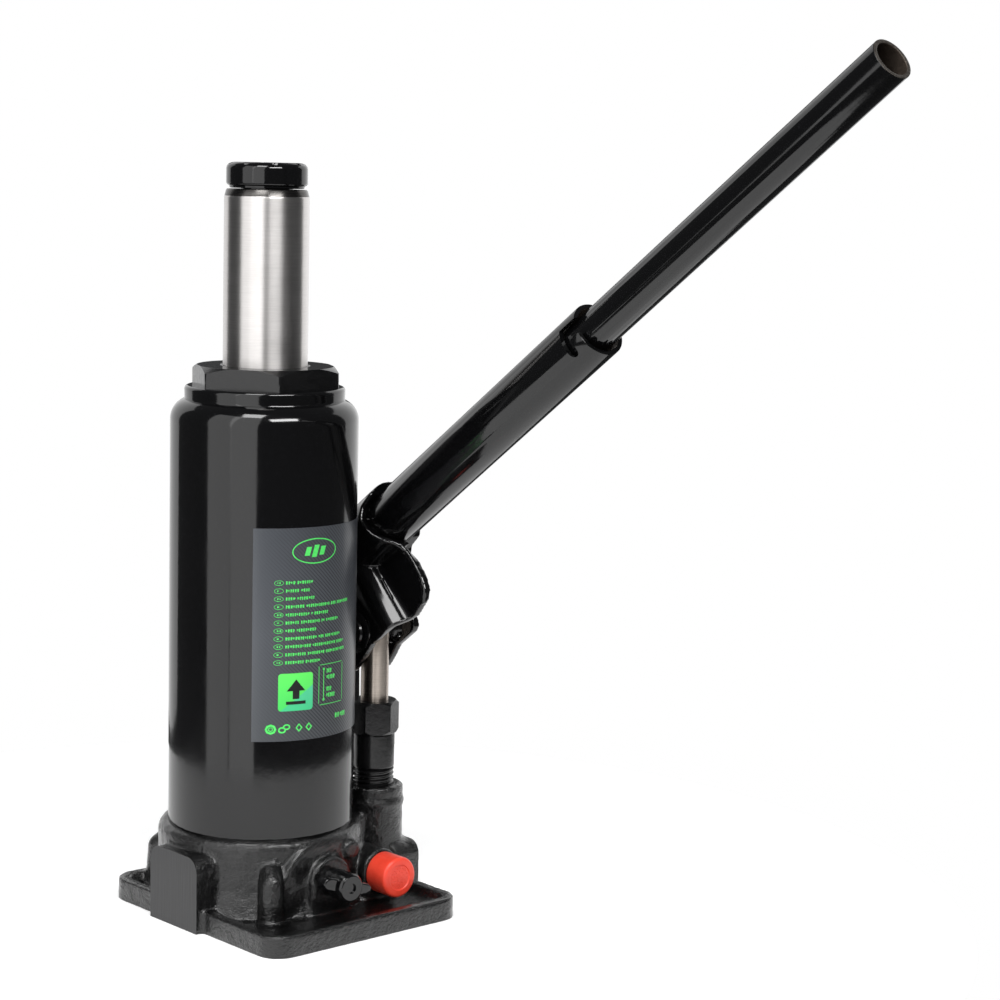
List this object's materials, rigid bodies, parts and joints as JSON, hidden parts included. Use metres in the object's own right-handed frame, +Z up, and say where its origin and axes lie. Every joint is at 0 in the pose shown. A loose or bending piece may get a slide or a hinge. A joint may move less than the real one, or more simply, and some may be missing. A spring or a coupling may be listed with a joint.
{
  "type": "hydraulic bottle jack",
  "caption": "Hydraulic bottle jack with hand pump, telescopic lever handle, ram with extension screw, release valve and capped overload valve.",
  "frame": {"origin": "on the ram's axis, at the underside of the base", "axes": "+Z up along the ram, +X from the ram towards the hand pump, -Y towards the operator, where the valves and the handle are"},
  "size_m": [0.1078, 0.2961, 0.3228],
  "materials": {
    "cast_black": "black enamel over rough sand casting",
    "black_enamel": "smooth high-gloss black enamel",
    "black_oxide": "satin black",
    "ground_steel": "ground and polished rod",
    "bright_steel": "turned steel",
    "hard_steel": "bright hardened steel",
    "seal_rubber": "moulded black rubber",
    "copper": "soft copper",
    "brass_mesh": "woven brass",
    "piston_seal": "red-brown polyurethane",
    "guide_plastic": "natural plastic",
    "red_plastic": "bright red moulded plastic",
    "label_print": "printed film, dark grey with green"
  },
  "bodies": {
    "body": {"base": "cast_black", "tank": "black_enamel", "tank_gasket": "seal_rubber", "pressure_cylinder": "bright_steel", "cylinder_gasket": "copper", "top_nut": "black_oxide", "nut_seal": "seal_rubber", "wiper_ring": "seal_rubber", "pump_cylinder": "black_oxide", "pump_washer": "copper", "overload_screw": "bright_steel", "overload_spring": "hard_steel", "overload_ball": "hard_steel", "suction_ball": "hard_steel", "delivery_ball": "hard_steel", "delivery_spring": "hard_steel", "delivery_plug": "black_oxide", "release_ball": "hard_steel", "oil_strainer": "brass_mesh", "nameplate": "label_print"},
    "ram": {"ram": "ground_steel", "piston_cup": "piston_seal", "piston_washer": "bright_steel", "guide_ring": "guide_plastic"},
    "stop_ring": {"screw_stop_ring": "hard_steel"},
    "screw": {"extension_screw": "black_oxide"},
    "plunger": {"pump_plunger": "bright_steel", "plunger_seal": "seal_rubber", "backup_ring": "guide_plastic", "plunger_pin": "black_oxide", "plunger_pin_clip": "hard_steel"},
    "link": {"link_plates": "black_oxide", "fulcrum_pin": "black_oxide", "fulcrum_pin_clip": "hard_steel", "link_base_pin": "black_oxide", "base_pin_clip": "hard_steel"},
    "lever": {"handle_socket": "black_enamel"},
    "lower_handle": {"lower_handle_tube": "black_enamel", "guide_bush": "bright_steel"},
    "upper_handle": {"upper_handle_tube": "black_enamel", "stop_bush": "bright_steel"},
    "valve_seal": {"release_valve_seal": "seal_rubber"},
    "valve": {"release_valve": "black_oxide"},
    "cap": {"overload_cap": "red_plastic"},
    "filler": {"filler_plug": "seal_rubber"}
  },
  "joints": [
    {"name": "ram_lift", "type": "slide", "parent": "body", "child": "ram", "axis": [0, 0, 1], "range_m": [-0.0643, 0.0627]},
    {"name": "screw_turn", "type": "hinge", "parent": "stop_ring", "child": "screw", "pos_m": [0, 0, 0.25], "axis": [0, 0, 1], "range_deg": [0, 6300]},
    {"name": "screw_lift", "type": "slide", "parent": "ram", "child": "stop_ring", "axis": [0, 0, 1], "range_m": [0, 0.0701]},
    {"name": "lever_swing", "type": "hinge", "parent": "link", "child": "lever", "pos_m": [0.051, 0.01863, 0.09683], "axis": [-1, 0, 0], "range_deg": [-31.8, 29.7]},
    {"name": "link_sway", "type": "hinge", "parent": "body", "child": "link", "pos_m": [0.051, 0.0176, 0.044], "axis": [-1, 0, 0], "range_deg": [-1.8, 1.9]},
    {"name": "plunger_stroke", "type": "slide", "parent": "body", "child": "plunger", "axis": [0, 0, 1], "range_m": [-0.0125, 0.0115]},
    {"name": "handle_pull", "type": "slide", "parent": "lever", "child": "lower_handle", "axis": [0, -0.809, 0.5878], "range_m": [0, 0.05]},
    {"name": "upper_handle_slide", "type": "slide", "parent": "lower_handle", "child": "upper_handle", "axis": [0, -0.809, 0.5878], "range_m": [-0.12, 0.01]},
    {"name": "release_turn", "type": "hinge", "parent": "valve_seal", "child": "valve", "pos_m": [0.002, -0.04, 0.017], "axis": [0, -1, 0], "range_deg": [0, 540]},
    {"name": "release_travel", "type": "slide", "parent": "body", "child": "valve_seal", "axis": [0, -1, 0], "range_m": [0, 0.0024]},
    {"name": "cap_pull", "type": "slide", "parent": "body", "child": "cap", "axis": [0, -1, 0], "range_m": [0, 0.008]},
    {"name": "filler_plug_pull", "type": "slide", "parent": "body", "child": "filler", "axis": [0, 1, 0], "range_m": [0, 0.012]}
  ],
  "couplings": [
    {"joint": "screw_lift", "follows": "screw_turn", "m_per_rad": 0.00063662},
    {"joint": "link_sway", "follows": "lever_swing", "ratio": -0.0566},
    {"joint": "plunger_stroke", "follows": "lever_swing", "m_per_rad": 0.0213},
    {"joint": "release_travel", "follows": "release_turn", "m_per_rad": 0.00023873}
  ]
}
